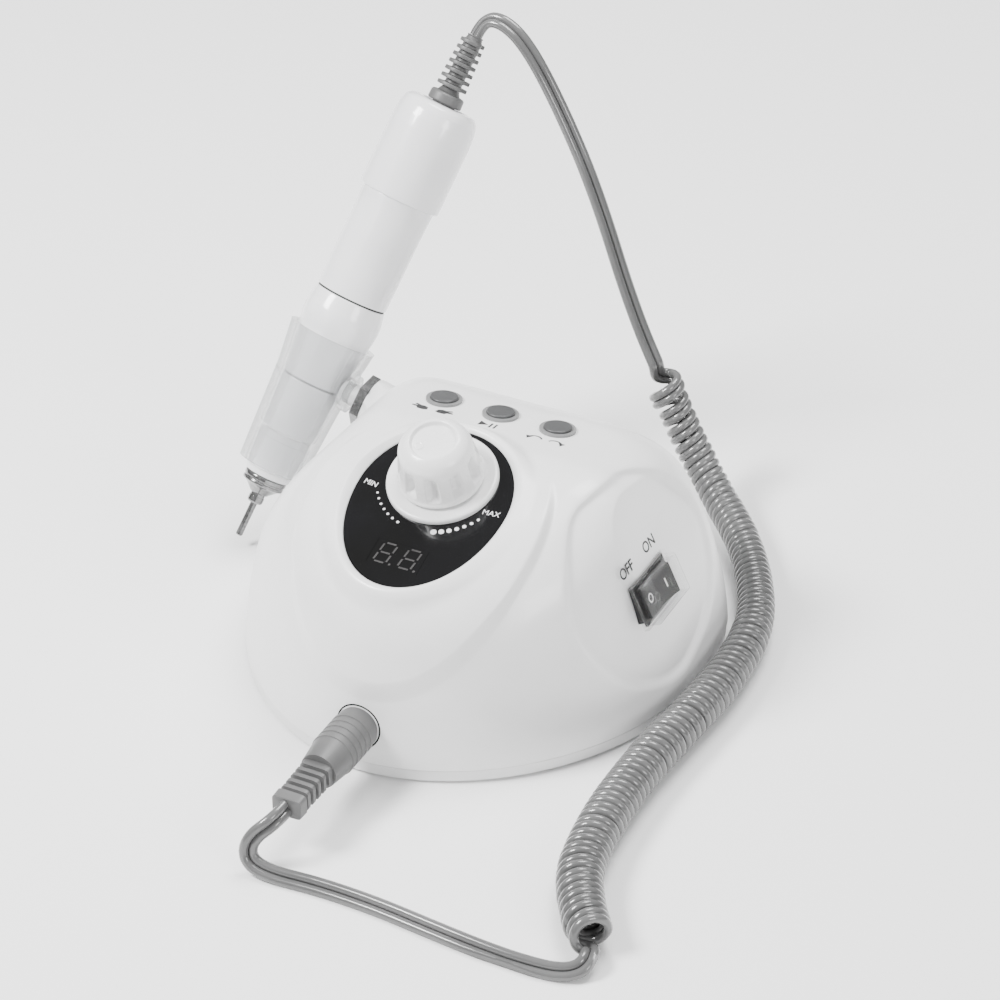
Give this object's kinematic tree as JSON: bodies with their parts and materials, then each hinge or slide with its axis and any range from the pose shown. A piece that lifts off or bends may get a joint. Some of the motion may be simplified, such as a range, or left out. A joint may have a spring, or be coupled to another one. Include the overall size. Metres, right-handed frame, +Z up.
{
  "type": "electric nail drill",
  "caption": "Dome-shaped nail drill control box with speed dial, push buttons and power rocker, a tilting clear holder, a motor handpiece and a curly lead.",
  "frame": {"origin": "centre of the box's footprint, on the plane of its feet", "axes": "+Z up, the box's front with the handpiece jack faces -Y, its power switch faces +X, the handpiece holder is on -X"},
  "size_m": [0.2056, 0.2538, 0.1649],
  "materials": {
    "shell_white": "glossy",
    "panel_black": "glossy",
    "knob_white": "satin",
    "rubber_black": "matte",
    "rubber_white": "satin",
    "steel": "satin",
    "chrome": "polished",
    "bezel_grey": "glossy",
    "digit_dark": "glossy",
    "clear_plastic": "clear",
    "button_grey": "glossy",
    "switch_black": "glossy",
    "board_green": "satin",
    "copper": "satin",
    "brass": "satin",
    "iron": "matte",
    "aluminium": "satin",
    "handpiece_pearl": "pearl",
    "lead_grey": "glossy",
    "plug_grey": "satin"
  },
  "bodies": {
    "box": {"upper_shell": "shell_white", "base_tray": "shell_white", "rubber_feet": "rubber_black", "case_screws": "steel", "front_panel": "panel_black", "display_digits": "digit_dark", "display_board": "board_green", "dial_plate": "knob_white", "dial_control": "switch_black", "button_bezels": "bezel_grey", "tact_switches": "switch_black", "control_board": "board_green", "switch_housing": "switch_black", "switch_boot": "clear_plastic", "switch_terminals": "brass", "handpiece_jack": "switch_black", "mains_gland": "rubber_white", "pedal_jack": "switch_black", "pedal_jack_nut": "steel", "transformer_core": "iron", "transformer_winding": "copper", "transformer_strap": "steel", "board_posts": "aluminium", "main_board": "board_green", "capacitors": "switch_black", "heat_sink": "aluminium", "holder_post": "shell_white", "holder_nut": "steel", "plug_body": "plug_grey", "plug_pins": "brass", "plug_relief": "plug_grey", "lead_upper": "lead_grey", "lead_coil": "lead_grey", "lead_tail": "lead_grey"},
    "dial": {"speed_knob": "knob_white", "dial_shaft": "steel"},
    "button_left": {"button_left": "button_grey"},
    "button_middle": {"button_middle": "button_grey"},
    "button_right": {"button_right": "button_grey"},
    "rocker": {"switch_rocker": "switch_black"},
    "holder": {"holder_tube": "clear_plastic"},
    "handpiece": {"inner_barrel": "steel", "front_grip": "handpiece_pearl", "grip_seal": "rubber_black", "mid_body": "handpiece_pearl", "rear_cap": "handpiece_pearl", "cord_relief": "plug_grey", "nose_ring": "chrome", "bearings": "steel", "motor_can": "steel", "motor_magnets": "iron", "motor_end_cap": "switch_black"},
    "sleeve": {"lock_sleeve": "shell_white"},
    "spindle": {"collet": "chrome", "spindle": "steel", "drive_coupling": "switch_black", "motor_rotor": "steel"},
    "bit": {"sanding_mandrel": "steel"}
  },
  "joints": [
    {"name": "dial_turn", "type": "hinge", "parent": "box", "child": "dial", "pos_m": [0, -0.0249, 0.0739], "axis": [0, 0.3239, -0.9461], "range_deg": [0, 300]},
    {"name": "button_left_press", "type": "slide", "parent": "box", "child": "button_left", "axis": [0, -0.1478, -0.989], "range_m": [0, 0.0006], "stiffness_N_per_m": 400, "springref_m": -0.0004},
    {"name": "button_middle_press", "type": "slide", "parent": "box", "child": "button_middle", "axis": [0, -0.1478, -0.989], "range_m": [0, 0.0006], "stiffness_N_per_m": 400, "springref_m": -0.0004},
    {"name": "button_right_press", "type": "slide", "parent": "box", "child": "button_right", "axis": [0, -0.1478, -0.989], "range_m": [0, 0.0006], "stiffness_N_per_m": 400, "springref_m": -0.0004},
    {"name": "rocker_tip", "type": "hinge", "parent": "box", "child": "rocker", "pos_m": [0.064, -0.011, 0.04313], "axis": [-0.436, 0, 0.9], "range_deg": [0, 14]},
    {"name": "holder_swivel", "type": "hinge", "parent": "box", "child": "holder", "pos_m": [-0.061, 0.0387, 0.0491], "axis": [-0.9659, 0, 0.2588], "range_deg": [-6, 40], "deforming": ["lead_upper"]},
    {"name": "handpiece_lift", "type": "slide", "parent": "holder", "child": "handpiece", "axis": [0.2195, 0.5299, 0.8192], "range_m": [0, 0.08], "deforming": ["lead_upper"]},
    {"name": "sleeve_twist", "type": "hinge", "parent": "handpiece", "child": "sleeve", "pos_m": [-0.08177, 0.0387, 0.05466], "axis": [0.2195, 0.5299, 0.8192], "range_deg": [0, 45]},
    {"name": "spindle_spin", "type": "hinge", "parent": "handpiece", "child": "spindle", "pos_m": [-0.08177, 0.0387, 0.05466], "axis": [0.2195, 0.5299, 0.8192], "continuous": true},
    {"name": "bit_change", "type": "slide", "parent": "spindle", "child": "bit", "axis": [-0.2195, -0.5299, -0.8192], "range_m": [0, 0.05]}
  ]
}
